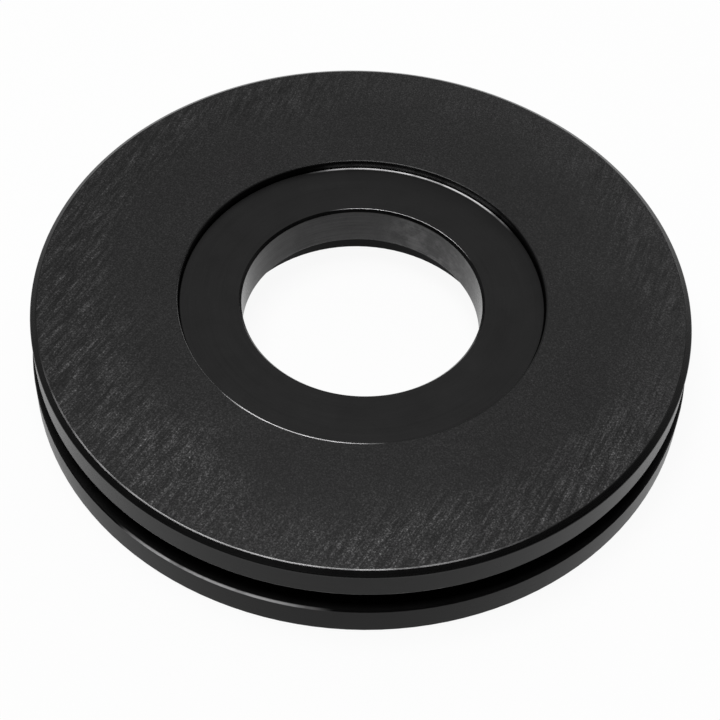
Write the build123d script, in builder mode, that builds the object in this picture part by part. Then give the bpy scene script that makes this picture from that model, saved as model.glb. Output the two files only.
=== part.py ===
from build123d import *
import os

# Driving dimensions of the ring, in millimetres.
# The origin is the centre of the underside, and the ring's axis is +Z.

# Upper plate, the disc with the ground face that looks up.
upper_plate_diameter = 109.0
upper_rim_height = 5.4
rim_bevel_width = 1.0
rim_bevel_height = 0.7
upper_bore_break = 0.1

# Lower plate, a touch wider than the upper one.
lower_plate_diameter = 110.0
lower_rim_height = 5.6
lower_bore_diameter = 47.0
lower_bore_chamfer = 0.6
lower_edge_chamfer = 0.3

# Wedge groove that grips the inner edge of the ring blade.
groove_mouth_width = 4.2
groove_floor_width = 2.8
groove_floor_diameter = 94.0
groove_lip_break = 0.2

# Hub ring, the recessed ring that sits on the saw's output shaft.
shaft_bore_diameter = 40.0
hub_diameter = 60.6
hub_recess = 1.4
hub_gap = 0.15
hub_edge_chamfer = 0.15
bore_chamfer_width = 0.4
bore_chamfer_height = 0.5
bore_lower_chamfer = 0.3

# Socket countersunk screws that pull the two plates together, M5.
plate_screw_diameter = 5.0
plate_screw_length = 12.0
plate_screw_head = 10.0
plate_screw_hex = 3.0
plate_screw_hex_depth = 1.9
plate_screw_count = 4

# Socket countersunk screws that hold the hub ring, M3.
hub_screw_diameter = 3.0
hub_screw_length = 10.0
hub_screw_head = 6.0
hub_screw_hex = 2.0
hub_screw_hex_depth = 1.1
hub_screw_edge = 2.9
hub_screw_count = 3

# Dowel pins that carry the turning force from plate to plate.
plate_pin_diameter = 5.0
plate_pin_length = 10.0
plate_pin_count = 2
pin_depth_in_lower_plate = 4.0

# Fits and clearances.
hub_centring_clearance = 0.05
pin_clearance = 0.01
thread_clearance = 0.02
screw_hole_clearance = 0.25
head_below_face = 0.2
thread_run_out = 0.8
pin_end_room = 0.3

# Heights along the axis, built up from the underside.
groove_flank_rise = (groove_mouth_width - groove_floor_width) / 2
lower_seat_z = lower_rim_height + groove_flank_rise
upper_seat_z = lower_seat_z + groove_floor_width
upper_lip_z = lower_rim_height + groove_mouth_width
top_z = upper_lip_z + upper_rim_height
hub_top_z = top_z - hub_recess
pin_foot_z = lower_seat_z - pin_depth_in_lower_plate

# Radii of the plates and of the fits.
upper_radius = upper_plate_diameter / 2
lower_radius = lower_plate_diameter / 2
floor_radius = groove_floor_diameter / 2
hub_radius = hub_diameter / 2
shaft_bore_radius = shaft_bore_diameter / 2
lower_bore_radius = lower_bore_diameter / 2
upper_bore_radius = hub_radius + hub_gap
floor_ring_bore_radius = hub_radius + hub_centring_clearance

# The plate screws and pins stand on one circle, midway across the floor ring.
# The hub screws stand a fixed step in from the hub ring's edge.
plate_screw_circle_radius = (floor_ring_bore_radius + floor_radius) / 2
hub_screw_circle_radius = hub_radius - hub_screw_edge

# How far each blind hole runs above the face that it starts from.
plate_thread_depth = head_below_face + plate_screw_length + thread_run_out - upper_seat_z
hub_thread_depth = head_below_face + hub_screw_length + thread_run_out - lower_seat_z
plate_pin_hole_depth = pin_foot_z + plate_pin_length + pin_end_room - upper_seat_z

# Screws enter from the underside. Each dowel pin stands midway between two plate screws.
underside = Plane(origin=(0, 0, 0), x_dir=(1, 0, 0), z_dir=(0, 0, -1))
screw_head_plane = underside.offset(-head_below_face)
plate_screw_start = 180 / plate_screw_count
hub_screw_start = 180 / hub_screw_count


def circles_of_radius(builder, radius):
    """Circular edges of a radius about the ring's axis, from the lowest to the highest."""
    circles = builder.edges().filter_by(GeomType.CIRCLE)
    same = circles.filter_by(lambda edge: abs(edge.radius - radius) < 0.001)
    return same.sort_by(Axis.Z)


def countersunk_screw(diameter, length, head, hex_size, hex_depth):
    """Socket countersunk screw with its head's flat face at the origin and its point down."""
    cone_height = (head - diameter) / 2
    with BuildPart() as screw:
        with BuildSketch(Plane.XZ):
            Polygon(
                (0, 0),
                (head / 2, 0),
                (diameter / 2, -cone_height),
                (diameter / 2, -length),
                (0, -length),
                align=None,
            )
        revolve(axis=Axis.Z)
        with BuildSketch(Plane.XY):
            RegularPolygon(radius=hex_size / 2, side_count=6, major_radius=False)
        extrude(amount=-hex_depth, mode=Mode.SUBTRACT)
    return screw.part


# Lower plate. Its upper face is flat as far as the groove floor and falls away
# from there to the lip, which makes the lower flank of the wedge groove.
with BuildPart() as lower_plate:
    with BuildSketch(Plane.XZ):
        Polygon(
            (lower_bore_radius, 0),
            (lower_radius, 0),
            (lower_radius, lower_rim_height),
            (floor_radius, lower_seat_z),
            (lower_bore_radius, lower_seat_z),
            align=None,
        )
    revolve(axis=Axis.Z)
    chamfer(circles_of_radius(lower_plate, lower_radius)[0], length=lower_edge_chamfer)
    chamfer(circles_of_radius(lower_plate, lower_radius)[-1], length=groove_lip_break)
    chamfer(circles_of_radius(lower_plate, lower_bore_radius)[0], length=lower_bore_chamfer)
    with Locations(underside):
        with PolarLocations(plate_screw_circle_radius, plate_screw_count, plate_screw_start):
            CounterSinkHole(
                radius=plate_screw_diameter / 2 + screw_hole_clearance,
                counter_sink_radius=plate_screw_head / 2 + head_below_face,
                counter_sink_angle=90,
            )
        with PolarLocations(hub_screw_circle_radius, hub_screw_count, hub_screw_start):
            CounterSinkHole(
                radius=hub_screw_diameter / 2 + screw_hole_clearance,
                counter_sink_radius=hub_screw_head / 2 + head_below_face,
                counter_sink_angle=90,
            )
    with Locations((0, 0, lower_seat_z)):
        with PolarLocations(plate_screw_circle_radius, plate_pin_count):
            Hole(radius=plate_pin_diameter / 2 + pin_clearance, depth=pin_depth_in_lower_plate)

# Groove floor ring. It keeps the plates apart, closes the bottom of the groove
# and centres the hub ring in its bore.
with BuildPart() as groove_floor_ring:
    with BuildSketch(Plane.XY.offset(lower_seat_z)):
        Circle(floor_radius)
        Circle(floor_ring_bore_radius, mode=Mode.SUBTRACT)
        with PolarLocations(plate_screw_circle_radius, plate_screw_count, plate_screw_start):
            Circle(plate_screw_diameter / 2 + screw_hole_clearance, mode=Mode.SUBTRACT)
        with PolarLocations(plate_screw_circle_radius, plate_pin_count):
            Circle(plate_pin_diameter / 2 + pin_clearance, mode=Mode.SUBTRACT)
    extrude(amount=groove_floor_width)

# Upper plate. Its underside mirrors the lower flank of the groove, its top edge is
# bevelled, and its screw and pin holes stop short of the ground top face.
with BuildPart() as upper_plate:
    with BuildSketch(Plane.XZ):
        Polygon(
            (upper_bore_radius, upper_seat_z),
            (floor_radius, upper_seat_z),
            (upper_radius, upper_lip_z),
            (upper_radius, top_z - rim_bevel_height),
            (upper_radius - rim_bevel_width, top_z),
            (upper_bore_radius, top_z),
            align=None,
        )
    revolve(axis=Axis.Z)
    chamfer(circles_of_radius(upper_plate, upper_radius)[0], length=groove_lip_break)
    chamfer(circles_of_radius(upper_plate, upper_bore_radius)[-1], length=upper_bore_break)
    with Locations((0, 0, upper_seat_z)):
        with PolarLocations(plate_screw_circle_radius, plate_screw_count, plate_screw_start):
            Hole(radius=plate_screw_diameter / 2 + thread_clearance, depth=plate_thread_depth)
        with PolarLocations(plate_screw_circle_radius, plate_pin_count):
            Hole(radius=plate_pin_diameter / 2 + pin_clearance, depth=plate_pin_hole_depth)

# Hub ring. It stands on the lower plate inside the upper one, with its top face
# sunk below the ground face so that the saw's clamping washer lies in the recess.
with BuildPart() as hub_ring:
    with BuildSketch(Plane.XZ):
        Polygon(
            (shaft_bore_radius, lower_seat_z),
            (hub_radius, lower_seat_z),
            (hub_radius, hub_top_z),
            (shaft_bore_radius + bore_chamfer_width, hub_top_z),
            (shaft_bore_radius, hub_top_z - bore_chamfer_height),
            align=None,
        )
    revolve(axis=Axis.Z)
    chamfer(circles_of_radius(hub_ring, shaft_bore_radius)[0], length=bore_lower_chamfer)
    chamfer(circles_of_radius(hub_ring, hub_radius)[-1], length=hub_edge_chamfer)
    with Locations((0, 0, lower_seat_z)):
        with PolarLocations(hub_screw_circle_radius, hub_screw_count, hub_screw_start):
            Hole(radius=hub_screw_diameter / 2 + thread_clearance, depth=hub_thread_depth)

# Plate screws, from the underside through the lower plate and the floor ring
# into blind threads in the upper plate.
plate_screw = countersunk_screw(
    plate_screw_diameter,
    plate_screw_length,
    plate_screw_head,
    plate_screw_hex,
    plate_screw_hex_depth,
)
with BuildPart() as plate_screws:
    with Locations(screw_head_plane):
        with PolarLocations(plate_screw_circle_radius, plate_screw_count, plate_screw_start):
            add(plate_screw)

# Hub screws, from the underside through the lower plate into the hub ring.
hub_screw = countersunk_screw(
    hub_screw_diameter,
    hub_screw_length,
    hub_screw_head,
    hub_screw_hex,
    hub_screw_hex_depth,
)
with BuildPart() as hub_screws:
    with Locations(screw_head_plane):
        with PolarLocations(hub_screw_circle_radius, hub_screw_count, hub_screw_start):
            add(hub_screw)

# Plate pins, through the floor ring and blind in both plates.
with BuildPart() as plate_pins:
    with BuildSketch(Plane.XY.offset(pin_foot_z)):
        with PolarLocations(plate_screw_circle_radius, plate_pin_count):
            Circle(plate_pin_diameter / 2)
    extrude(amount=plate_pin_length)

os.makedirs("parts", exist_ok=True)

lower_plate.part.label = "lower_plate"
export_step(lower_plate.part, "parts/lower_plate.step")

groove_floor_ring.part.label = "groove_floor_ring"
export_step(groove_floor_ring.part, "parts/groove_floor_ring.step")

upper_plate.part.label = "upper_plate"
export_step(upper_plate.part, "parts/upper_plate.step")

hub_ring.part.label = "hub_ring"
export_step(hub_ring.part, "parts/hub_ring.step")

plate_screws.part.label = "plate_screws"
export_step(plate_screws.part, "parts/plate_screws.step")

hub_screws.part.label = "hub_screws"
export_step(hub_screws.part, "parts/hub_screws.step")

plate_pins.part.label = "plate_pins"
export_step(plate_pins.part, "parts/plate_pins.step")
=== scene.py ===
import math

import bpy
import numpy as np
from mathutils import Matrix, Vector


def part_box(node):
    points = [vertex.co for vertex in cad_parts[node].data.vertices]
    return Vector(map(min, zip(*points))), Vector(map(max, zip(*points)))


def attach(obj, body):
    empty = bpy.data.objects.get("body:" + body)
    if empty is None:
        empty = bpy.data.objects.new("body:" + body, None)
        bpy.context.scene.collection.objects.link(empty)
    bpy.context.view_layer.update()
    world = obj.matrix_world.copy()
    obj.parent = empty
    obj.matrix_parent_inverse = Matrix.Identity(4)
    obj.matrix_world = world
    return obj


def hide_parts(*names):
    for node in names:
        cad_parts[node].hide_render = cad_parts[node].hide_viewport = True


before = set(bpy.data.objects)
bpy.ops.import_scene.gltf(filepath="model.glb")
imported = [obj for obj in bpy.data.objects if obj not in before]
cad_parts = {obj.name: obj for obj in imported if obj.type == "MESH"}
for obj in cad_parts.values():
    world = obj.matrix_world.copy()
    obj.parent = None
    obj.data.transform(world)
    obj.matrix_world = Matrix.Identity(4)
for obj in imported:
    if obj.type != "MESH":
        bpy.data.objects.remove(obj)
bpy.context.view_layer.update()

mm = 0.001

# Camera, at the angle of the photograph: a 91 mm lens on a square 36 mm frame,
# about half way up, and rolled three degrees. It is placed by where the centre
# of the ring's top face falls in the picture and how far away that point is.
lens_mm = 90.88
sensor_mm = 36.0
picture_px = 720
camera_elevation = math.radians(51.515)
camera_roll = math.radians(2.934)
top_centre_px = (362.45, 293.0)
top_centre_depth = 300.33 * mm

top_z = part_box("upper_plate")[1][2]
pixel_slope = sensor_mm / lens_mm / picture_px
top_centre_seen = np.array([
    (top_centre_px[0] - picture_px / 2) * pixel_slope,
    (top_centre_px[1] - picture_px / 2) * pixel_slope,
    1.0,
]) * top_centre_depth

# The ring's axes as the camera sees them: right, down and forward.
ring_up = np.array([
    math.sin(camera_roll) * math.cos(camera_elevation),
    -math.cos(camera_roll) * math.cos(camera_elevation),
    -math.sin(camera_elevation),
])
ring_right = np.array([1.0, 0.0, 0.0]) - ring_up[0] * ring_up
ring_right = ring_right / np.linalg.norm(ring_right)
ring_away = np.cross(ring_up, ring_right)
seen_axes = np.array([ring_right, ring_away, ring_up])

camera_data = bpy.data.cameras.new("camera")
camera_data.lens = lens_mm
camera_data.sensor_width = sensor_mm
camera = bpy.data.objects.new("camera", camera_data)
bpy.context.scene.collection.objects.link(camera)
camera_place = -seen_axes @ top_centre_seen + np.array([0.0, 0.0, top_z])
camera_turn = np.column_stack([seen_axes[:, 0], -seen_axes[:, 1], -seen_axes[:, 2]])
camera.matrix_world = Matrix.Translation(Vector(camera_place)) @ Matrix(camera_turn.tolist()).to_4x4()
bpy.context.scene.camera = camera

# Upper plate: a steel disc 109 mm across, turned, blackened and ground on its top
# face. The wheel leaves long, nearly straight scratches that show most near the rim.
# Four screws in blind threads hold it from below.


def rounded_outline(corners, steps=6):
    """Closed outline through (r, z, radius) corners, each corner an arc tangent to its two sides.
    Returns the points, their outward normals, the number of the side that leaves each point, and
    whether that point is inside an arc."""
    points, normals, sides, on_arc = [], [], [], []
    count = len(corners)
    for k, (r, z, radius) in enumerate(corners):
        here = np.array([r, z])
        before = np.array(corners[k - 1][:2]) - here
        after = np.array(corners[(k + 1) % count][:2]) - here
        before = before / np.linalg.norm(before)
        after = after / np.linalg.norm(after)
        normal_in = np.array([-before[1], before[0]])
        normal_out = np.array([after[1], -after[0]])
        half_angle = math.acos(float(np.clip(before @ after, -1.0, 1.0))) / 2
        to_centre = (before + after) / np.linalg.norm(before + after)
        centre = here + to_centre * radius / math.sin(half_angle)
        hollow = float(before[0] * after[1] - before[1] * after[0]) > 0
        reach = -radius if hollow else radius
        turn = math.atan2(
            normal_in[0] * normal_out[1] - normal_in[1] * normal_out[0], float(normal_in @ normal_out)
        )
        angles = np.linspace(0.0, turn, steps + 1)
        arc_normals = np.column_stack([
            normal_in[0] * np.cos(angles) - normal_in[1] * np.sin(angles),
            normal_in[0] * np.sin(angles) + normal_in[1] * np.cos(angles),
        ])
        points.append(centre + arc_normals * reach)
        normals.append(arc_normals)
        sides.append(np.full(steps + 1, k))
        on_arc.append(np.arange(steps + 1) < steps)
    return np.vstack(points), np.vstack(normals), np.concatenate(sides), np.concatenate(on_arc)


def turned_ring(name, corners, materials, side_materials, edge_materials, turns=360):
    """Surface of revolution: outline point (r, z) at turn angle a lies at (r cos a, r sin a, z).
    The outline runs up the outside, in over the top and down the bore, so that faces point outwards."""
    outline, outline_normals, sides, on_arc = rounded_outline(corners)
    count = len(outline)
    angles = np.linspace(0.0, 2 * np.pi, turns, endpoint=False)[:, None]
    flat = np.ones_like(angles)
    grid = np.stack([
        np.cos(angles) * outline[:, 0], np.sin(angles) * outline[:, 0], flat * outline[:, 1]
    ], axis=-1).reshape(-1, 3)
    directions = np.stack([
        np.cos(angles) * outline_normals[:, 0],
        np.sin(angles) * outline_normals[:, 0],
        flat * outline_normals[:, 1],
    ], axis=-1).reshape(-1, 3)
    i, j = np.meshgrid(np.arange(turns), np.arange(count), indexing="ij")
    i_next, j_next = (i + 1) % turns, (j + 1) % count
    faces = np.stack([
        i * count + j, i_next * count + j, i_next * count + j_next, i * count + j_next
    ], axis=-1).reshape(-1, 4)
    mesh = bpy.data.meshes.new(name)
    mesh.from_pydata(grid.tolist(), [], faces.tolist())
    mesh.polygons.foreach_set("use_smooth", np.ones(len(faces), dtype=bool))
    for material in materials:
        mesh.materials.append(material)
    outline_slots = np.where(on_arc, np.array(edge_materials)[sides], np.array(side_materials)[sides])
    slots = outline_slots[j.ravel()]
    mesh.polygons.foreach_set("material_index", slots.astype(np.int32))
    mesh.normals_split_custom_set_from_vertices(directions.tolist())
    mesh.update()
    piece = bpy.data.objects.new(name, mesh)
    bpy.context.scene.collection.objects.link(piece)
    return piece


class Nodes:
    """Short calls that add one node each to a material and return its output socket."""

    def __init__(self, name):
        self.material = bpy.data.materials.new(name)
        self.material.use_nodes = True
        self.tree = self.material.node_tree
        self.shader = self.tree.nodes["Principled BSDF"]

    def set(self, socket, value):
        if isinstance(value, bpy.types.NodeSocket):
            self.tree.links.new(value, socket)
        else:
            socket.default_value = value

    def math(self, operation, a, b=0.0, c=0.0):
        node = self.tree.nodes.new("ShaderNodeMath")
        node.operation = operation
        for socket, value in zip(node.inputs, (a, b, c)):
            self.set(socket, value)
        return node.outputs[0]

    def place(self, scale=1000.0, offset=(0.0, 0.0, 0.0), turn=0.0):
        """Object coordinates in millimetres, turned about the ring's axis."""
        coordinates = self.tree.nodes.new("ShaderNodeTexCoord")
        mapping = self.tree.nodes.new("ShaderNodeMapping")
        mapping.inputs["Location"].default_value = offset
        mapping.inputs["Rotation"].default_value = (0.0, 0.0, turn)
        mapping.inputs["Scale"].default_value = (scale, scale, scale)
        self.tree.links.new(coordinates.outputs["Object"], mapping.inputs["Vector"])
        return mapping.outputs[0]

    def split(self, vector):
        node = self.tree.nodes.new("ShaderNodeSeparateXYZ")
        self.tree.links.new(vector, node.inputs[0])
        return node.outputs

    def join(self, x, y, z):
        node = self.tree.nodes.new("ShaderNodeCombineXYZ")
        for socket, value in zip(node.inputs, (x, y, z)):
            self.set(socket, value)
        return node.outputs[0]

    def noise(self, vector, scale, detail=3.0, roughness=0.55):
        node = self.tree.nodes.new("ShaderNodeTexNoise")
        self.tree.links.new(vector, node.inputs["Vector"])
        node.inputs["Scale"].default_value = scale
        node.inputs["Detail"].default_value = detail
        node.inputs["Roughness"].default_value = roughness
        return node.outputs["Fac"]

    def ramp(self, value, low, high, out_low=0.0, out_high=1.0):
        node = self.tree.nodes.new("ShaderNodeMapRange")
        node.interpolation_type = "SMOOTHSTEP"
        for socket, number in zip(node.inputs, (value, low, high, out_low, out_high)):
            self.set(socket, number)
        return node.outputs[0]

    def grey(self, value, tint):
        """A colour that is the value times a fixed tint."""
        node = self.tree.nodes.new("ShaderNodeCombineColor")
        for socket, share in zip(node.inputs, tint):
            self.set(socket, self.math("MULTIPLY", value, share))
        return node.outputs[0]

    def radius(self, x, y):
        """Distance from the ring's axis."""
        return self.math("SQRT", self.math("ADD", self.math("MULTIPLY", x, x), self.math("MULTIPLY", y, y)))

    def towards(self, x, y, direction, half_width):
        """1 towards a direction from the axis, in degrees, and 0 from the half width outwards."""
        c, s = math.cos(math.radians(direction)), math.sin(math.radians(direction))
        share = self.math("ADD", self.math("MULTIPLY", x, c), self.math("MULTIPLY", y, s))
        share = self.math("DIVIDE", share, self.radius(x, y))
        return self.ramp(share, math.cos(math.radians(half_width)), math.cos(math.radians(half_width * 0.35)))

    def bump(self, height, distance, strength=1.0):
        node = self.tree.nodes.new("ShaderNodeBump")
        node.inputs["Strength"].default_value = strength
        node.inputs["Distance"].default_value = distance
        self.tree.links.new(height, node.inputs["Height"])
        return node.outputs[0]


black_tint = (1.0, 0.99, 1.0)
grind_radius = 350.0
grind_direction = math.radians(65.0)


def ground_face():
    """Black oxide over a ground face: scratches on arcs about a far centre, over a fine grain.
    The scratches are long on the left, short in front and in broad bands on the right."""
    n = Nodes("ground_face")
    x, y, z = n.split(n.place())
    centre_x = -grind_radius * math.sin(grind_direction)
    centre_y = grind_radius * math.cos(grind_direction)
    dx = n.math("SUBTRACT", x, centre_x)
    dy = n.math("SUBTRACT", y, centre_y)
    across = n.radius(dx, dy)
    along = n.math("MULTIPLY", n.math("ARCTAN2", dy, dx), grind_radius)

    def scratch(per_mm_across, per_mm_along, seed, detail, roughness):
        """Noise stretched along the scratches, about its mean."""
        stretched = n.join(n.math("MULTIPLY", across, per_mm_across), n.math("MULTIPLY", along, per_mm_along), seed)
        return n.math("SUBTRACT", n.noise(stretched, 1.0, detail, roughness), 0.5)

    def weigh(*pairs):
        """Sum of each value times its weight."""
        total = 0.0
        for value, weight in pairs:
            total = n.math("ADD", total, n.math("MULTIPLY", value, weight))
        return total

    cloud = n.math("SUBTRACT", n.noise(n.place(), 0.06, 3.0, 0.6), 0.5)
    left = n.towards(x, y, 190, 58)
    front = n.towards(x, y, 250, 36)
    right = n.towards(x, y, 300, 44)
    back = n.math("ADD", n.towards(x, y, 120, 34), n.math("MULTIPLY", n.towards(x, y, 16, 30), 0.7))
    # The rim zone reaches further in towards the left front; it carries the scratches and the painted sheen.
    edge = weigh((n.radius(x, y), 1.0), (cloud, 16.0), (n.towards(x, y, 214, 40), 5.0))
    near_rim = n.ramp(edge, 39.0, 50.0)
    patch = n.ramp(scratch(0.25, 0.1, 7.0, 2.0, 0.5), -0.06, 0.1)
    wander = scratch(0.2, 0.05, 1.0, 2.0, 0.5)
    bands = n.math("SINE", n.math("MULTIPLY", weigh((across, 1.0), (wander, 6.0)), 2 * math.pi / 1.9))
    long_lines = weigh((scratch(1.15, 0.13, 0.0, 2.0, 0.65), 1.0), (scratch(4.0, 0.3, 3.0, 1.0, 0.5), 0.7))
    short_lines = scratch(2.0, 0.9, 5.0, 2.0, 0.65)
    lines = n.math("ADD", long_lines, n.math("MULTIPLY", n.math("MULTIPLY", bands, patch), 0.09))
    reach = weigh((left, 1.5), (front, 0.4), (right, 1.5), (back, 1.1))
    reach = n.math("ADD", n.math("MULTIPLY", near_rim, n.math("ADD", reach, 0.35)), 0.12)
    lines = n.math("MULTIPLY", lines, reach)
    lines = weigh((lines, 1.0), (n.math("MULTIPLY", n.math("MULTIPLY", short_lines, front), near_rim), 1.7))
    grain = n.math("SUBTRACT", n.noise(n.place(), 3.6, 1.5, 0.8), 0.5)
    coarse = n.math("MULTIPLY", near_rim, n.math("ADD", weigh((left, 0.8), (front, 0.9), (right, 1.0), (back, 0.4)), 0.2))
    speck = n.math("MULTIPLY", grain, n.math("ADD", n.math("MULTIPLY", coarse, 1.0), 2.2))
    # Haze: random clouds in the oxide, plus a painted sheen near the rim that is lighter towards the front and
    # towards the right and back.
    haze_and_painted_sheen = weigh((cloud, 0.3), (n.math("MULTIPLY", near_rim, n.ramp(y, 8.0, -34.0)), 0.2))
    haze_and_painted_sheen = n.math("ADD", haze_and_painted_sheen, n.math("MULTIPLY", n.math("MULTIPLY", near_rim, n.towards(x, y, 35, 95)), 0.12))
    tone = weigh((lines, 1.0), (speck, 1.0), (haze_and_painted_sheen, 1.0))
    value = n.math("MULTIPLY", 0.0143, n.math("POWER", 6.5, tone))
    n.set(n.shader.inputs["Base Color"], n.grey(value, black_tint))
    n.set(n.shader.inputs["Roughness"], n.math("ADD", 0.31, n.math("MULTIPLY", tone, -0.05)))
    n.shader.inputs["Specular IOR Level"].default_value = 0.25
    n.set(n.shader.inputs["Normal"], n.bump(n.math("ADD", lines, n.math("MULTIPLY", speck, 0.4)), 0.01 * mm))
    return n.material


def turned_steel(name, base, roughness, shine, metal=0.0, contrast=1.0, painted_edge_highlight=None, painted_wall_glint=None):
    """Black oxide over turning marks that run round the axis. The edge argument is (direction in degrees,
    half width, colour, (r, z, reach) or None): a painted highlight, lighter colour towards that direction,
    along a line at (r, z) when given. The wall argument is (direction, half width, gain): a painted
    highlight in blotches on one side of a smooth wall."""
    n = Nodes(name)
    x, y, z = n.split(n.place())
    radius = n.radius(x, y)
    angle = n.math("MULTIPLY", n.math("ARCTAN2", y, x), 1.4)
    marks = n.noise(n.join(n.math("MULTIPLY", radius, 4.0), n.math("MULTIPLY", z, 4.0), angle), 1.0, 3.0, 0.6)
    grain = n.noise(n.place(), 4.0, 2.0, 0.7)
    cloud = n.noise(n.place(), 0.2, 3.0, 0.6)
    fine = n.math("ADD", n.math("SUBTRACT", marks, 0.5), n.math("MULTIPLY", n.math("SUBTRACT", grain, 0.5), 0.6))
    tone = n.math("MULTIPLY", n.math("ADD", fine, n.math("MULTIPLY", n.math("SUBTRACT", cloud, 0.5), 0.8)), contrast)
    value = n.math("MULTIPLY", base, n.math("MAXIMUM", n.math("ADD", 1.0, tone), 0.1))
    # Painted highlight: lighter in blotches on one side of a wall.
    if painted_wall_glint:
        direction, half_width, gain = painted_wall_glint
        blotch = n.noise(n.place(), 0.35, 3.0, 0.6)
        painted_glint_mask = n.math("MULTIPLY", n.towards(x, y, direction, half_width), n.ramp(blotch, 0.4, 0.65, 0.15, 1.0))
        value = n.math("MULTIPLY", value, n.math("ADD", 1.0, n.math("MULTIPLY", painted_glint_mask, gain)))
    # Painted highlight: lighter colour towards one side, along a line at (r, z) when one is given.
    if painted_edge_highlight:
        direction, half_width, colour, line = painted_edge_highlight
        painted_edge_mask = n.math("MULTIPLY", n.towards(x, y, direction, half_width), n.ramp(cloud, 0.3, 0.6, 0.35, 1.0))
        if line:
            line_r, line_z, reach = line
            off_r = n.math("SUBTRACT", radius, line_r)
            off_z = n.math("SUBTRACT", z, line_z)
            away = n.math("SQRT", n.math("ADD", n.math("MULTIPLY", off_r, off_r), n.math("MULTIPLY", off_z, off_z)))
            painted_edge_mask = n.math("MULTIPLY", painted_edge_mask, n.ramp(away, reach, reach * 0.4))
        value = n.math("ADD", value, n.math("MULTIPLY", painted_edge_mask, colour))
    n.set(n.shader.inputs["Base Color"], n.grey(value, black_tint))
    n.set(n.shader.inputs["Roughness"], n.math("ADD", roughness, n.math("MULTIPLY", tone, 0.1)))
    n.shader.inputs["Specular IOR Level"].default_value = shine
    n.shader.inputs["Metallic"].default_value = metal
    n.set(n.shader.inputs["Normal"], n.bump(marks, 0.005 * mm))
    return n.material


top_face_material = ground_face()
rim_material = turned_steel("turned_rim", 0.006, 0.3, 0.1)
bevel_material = turned_steel("blackened_edge", 0.003, 0.28, 0.3)
# The top edge and the recess edge carry a painted highlight: lighter colour towards the front, a little to the left.
top_edge_material = turned_steel("top_edge_painted_highlight", 0.006, 0.3, 0.3, 0.1, 1.6, (248, 56, 0.3, None))
recess_edge_material = turned_steel("recess_edge_painted_highlight", 0.01, 0.3, 0.4, 0.4, 1.2, (250, 28, 1.0, None))

upper_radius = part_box("upper_plate")[1][0]
upper_seat_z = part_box("upper_plate")[0][2]
bevel_width = 1.0 * mm
bevel_height = 0.7 * mm
upper_rim_height = 5.4 * mm
groove_floor_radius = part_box("groove_floor_ring")[1][0]
hub_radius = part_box("hub_ring")[1][0]
hub_gap = 0.15 * mm
upper_bore_radius = hub_radius + hub_gap
upper_lip_z = top_z - upper_rim_height
fine_edge = 0.12 * mm

upper_plate = turned_ring(
    "upper_plate_ground",
    [
        (upper_radius, upper_lip_z, fine_edge),
        (upper_radius, top_z - bevel_height, 0.35 * mm),
        (upper_radius - bevel_width, top_z, 0.4 * mm),
        (upper_bore_radius, top_z, 0.3 * mm),
        (upper_bore_radius, upper_seat_z, fine_edge),
        (groove_floor_radius, upper_seat_z, fine_edge),
    ],
    [top_face_material, rim_material, bevel_material, top_edge_material, recess_edge_material],
    [1, 2, 0, 2, 1, 1],
    [3, 2, 3, 4, 2, 2],
)
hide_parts("upper_plate")
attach(upper_plate, "root")

# Hub ring: a turned ring that stands on the lower plate inside the upper one, sunk
# 1.4 mm below its face. Its bore is honed and is the brightest surface of the part.
hub_low, hub_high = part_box("hub_ring")
shaft_bore_radius = 20.0 * mm
# The hub face along its outer edge, the hub's outer edge and the bore's top edge carry a painted highlight, lighter
# towards the back, a little to the right. The bore wall carries a painted highlight in blotches on its back right
# side.
hub_face_material = turned_steel("turned_hub_face", 0.0107, 0.33, 0.2, 0.0, 0.6, (70, 40, 0.9, (30.2, 13.8, 0.5)))
hub_edge_material = turned_steel("hub_edge_painted_highlight", 0.01, 0.3, 0.4, 0.4, 1.2, (70, 40, 1.0, None))
bore_edge_material = turned_steel("bore_edge_painted_highlight", 0.006, 0.3, 0.1, 0.1, 1.2, (66, 42, 1.0, None))
bore_material = turned_steel("honed_bore", 0.078, 0.24, 0.12, 0.04, 1.0, None, (45, 38, 1.2))
hub_ring = turned_ring(
    "hub_ring_turned",
    [
        (hub_radius, hub_low[2], 0.2 * mm),
        (hub_radius, hub_high[2] - 0.15 * mm, 0.05 * mm),
        (hub_radius - 0.15 * mm, hub_high[2], 0.05 * mm),
        (shaft_bore_radius + 0.4 * mm, hub_high[2], 0.08 * mm),
        (shaft_bore_radius, hub_high[2] - 0.5 * mm, 0.08 * mm),
        (shaft_bore_radius, hub_low[2], 0.2 * mm),
    ],
    [hub_face_material, bore_material, bevel_material, hub_edge_material, bore_edge_material],
    [2, 3, 0, 2, 1, 2],
    [2, 3, 3, 4, 2, 2],
)
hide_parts("hub_ring")
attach(hub_ring, "root")

# Lower plate, floor ring, screws and pins keep the solids of the frame and get
# their finish here.
lower_rim_height = 5.6
# The lower plate's rim top edge carries a painted highlight line, lighter towards the front, a little to the left.
lower_plate_material = turned_steel(
    "turned_lower_plate", 0.0055, 0.3, 0.068, painted_edge_highlight=(246, 20, 0.6, (54.9, lower_rim_height - 0.1, 0.3))
)
for node, material in (
    ("lower_plate", lower_plate_material),
    ("groove_floor_ring", bevel_material),
    ("plate_screws", bevel_material),
    ("hub_screws", bevel_material),
    ("plate_pins", bore_material),
):
    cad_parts[node].data.materials[0] = material

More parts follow.
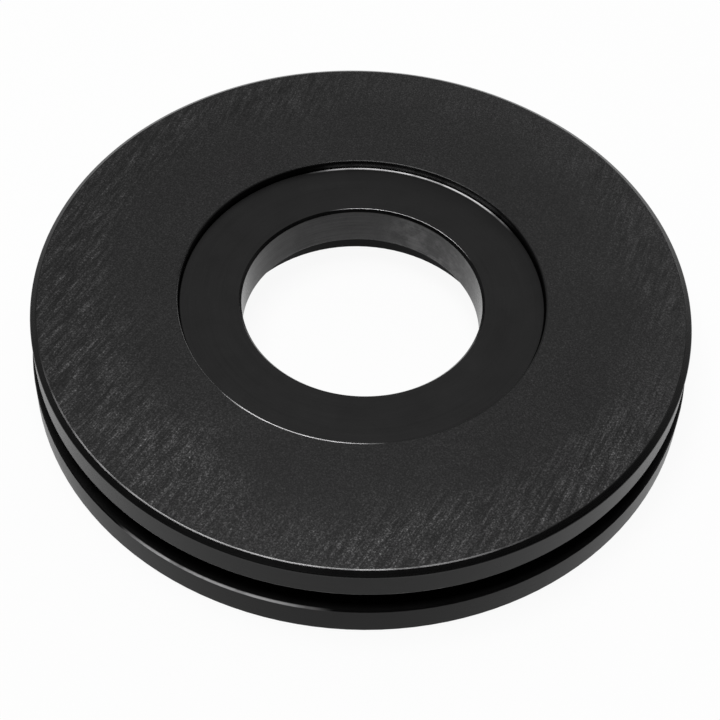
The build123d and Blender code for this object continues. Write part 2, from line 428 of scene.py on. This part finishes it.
# Floor and studio: a white floor that fades to white in the camera, so that only a
# soft shadow is left, a pale horizon, and a soft box overhead.
floor_mesh = bpy.data.meshes.new("floor")
floor_half = 3.0
floor_z = -0.03 * mm
floor_mesh.from_pydata(
    [
        (-floor_half, -floor_half, floor_z),
        (floor_half, -floor_half, floor_z),
        (floor_half, floor_half, floor_z),
        (-floor_half, floor_half, floor_z),
    ],
    [], [(0, 1, 2, 3)],
)
floor = bpy.data.objects.new("floor", floor_mesh)
bpy.context.scene.collection.objects.link(floor)
floor_material = bpy.data.materials.new("floor")
floor_material.use_nodes = True
floor_tree = floor_material.node_tree
floor_tree.nodes.clear()
floor_output = floor_tree.nodes.new("ShaderNodeOutputMaterial")
floor_diffuse = floor_tree.nodes.new("ShaderNodeBsdfDiffuse")
floor_diffuse.inputs["Color"].default_value = (0.9, 0.9, 0.9, 1.0)
floor_glow = floor_tree.nodes.new("ShaderNodeEmission")
floor_glow.inputs["Color"].default_value = (1.0, 1.0, 1.0, 1.0)
floor_path = floor_tree.nodes.new("ShaderNodeLightPath")
floor_seen = floor_tree.nodes.new("ShaderNodeMath")
floor_seen.operation = "MAXIMUM"
floor_share = floor_tree.nodes.new("ShaderNodeMath")
floor_share.operation = "MULTIPLY"
floor_place = floor_tree.nodes.new("ShaderNodeTexCoord")
floor_distance = floor_tree.nodes.new("ShaderNodeVectorMath")
floor_distance.operation = "LENGTH"
floor_fade = floor_tree.nodes.new("ShaderNodeMapRange")
floor_fade.interpolation_type = "SMOOTHSTEP"
floor_fade.inputs["From Min"].default_value = 0.1
floor_fade.inputs["From Max"].default_value = 0.6
floor_fade.inputs["To Min"].default_value = 0.93
floor_fade.inputs["To Max"].default_value = 1.0
floor_tree.links.new(floor_place.outputs["Object"], floor_distance.inputs[0])
floor_tree.links.new(floor_distance.outputs["Value"], floor_fade.inputs["Value"])
floor_tree.links.new(floor_fade.outputs[0], floor_share.inputs[1])
floor_mix = floor_tree.nodes.new("ShaderNodeMixShader")
floor_tree.links.new(floor_path.outputs["Is Camera Ray"], floor_seen.inputs[0])
floor_tree.links.new(floor_path.outputs["Is Glossy Ray"], floor_seen.inputs[1])
floor_tree.links.new(floor_seen.outputs[0], floor_share.inputs[0])
floor_tree.links.new(floor_share.outputs[0], floor_mix.inputs["Fac"])
floor_tree.links.new(floor_diffuse.outputs[0], floor_mix.inputs[1])
floor_tree.links.new(floor_glow.outputs[0], floor_mix.inputs[2])
floor_tree.links.new(floor_mix.outputs[0], floor_output.inputs["Surface"])
floor_mesh.materials.append(floor_material)

world = bpy.data.worlds.new("studio")
bpy.context.scene.world = world
world.use_nodes = True
sky = world.node_tree
sky.nodes.clear()
sky_output = sky.nodes.new("ShaderNodeOutputWorld")
sky_light = sky.nodes.new("ShaderNodeBackground")
sky_seen = sky.nodes.new("ShaderNodeBackground")
sky_seen.inputs["Color"].default_value = (1.0, 1.0, 1.0, 1.0)
sky_mix = sky.nodes.new("ShaderNodeMixShader")
sky_path = sky.nodes.new("ShaderNodeLightPath")
sky_direction = sky.nodes.new("ShaderNodeTexCoord")
sky_split = sky.nodes.new("ShaderNodeSeparateXYZ")
sky_back = sky.nodes.new("ShaderNodeMapRange")
sky_back.interpolation_type = "SMOOTHSTEP"
sky_back.inputs["From Min"].default_value = -0.15
sky_back.inputs["From Max"].default_value = 0.55
sky_back.inputs["To Min"].default_value = 0.03
sky_back.inputs["To Max"].default_value = 0.395
sky.links.new(sky_direction.outputs["Generated"], sky_split.inputs[0])
sky.links.new(sky_split.outputs[1], sky_back.inputs["Value"])
sky_light.inputs["Color"].default_value = (1.0, 1.0, 1.0, 1.0)
sky.links.new(sky_back.outputs[0], sky_light.inputs["Strength"])
sky.links.new(sky_path.outputs["Is Camera Ray"], sky_mix.inputs["Fac"])
sky.links.new(sky_light.outputs[0], sky_mix.inputs[1])
sky.links.new(sky_seen.outputs[0], sky_mix.inputs[2])
sky.links.new(sky_mix.outputs[0], sky_output.inputs["Surface"])

for name, place, size_x, size_y, watts in (
    ("overhead_softbox", (-0.1, -0.02, 0.7), 0.4, 0.36, 3.8),
    ("back_strip", (0.45, 0.75, 0.3), 0.5, 0.2, 1.5),
):
    light_data = bpy.data.lights.new(name, "AREA")
    light_data.shape = "RECTANGLE"
    light_data.size = size_x
    light_data.size_y = size_y
    light_data.energy = watts
    light = bpy.data.objects.new(name, light_data)
    light.location = place
    light.rotation_euler = (-Vector(place)).to_track_quat("-Z", "Y").to_euler()
    bpy.context.scene.collection.objects.link(light)

scene = bpy.context.scene
scene.view_settings.view_transform = "Standard"
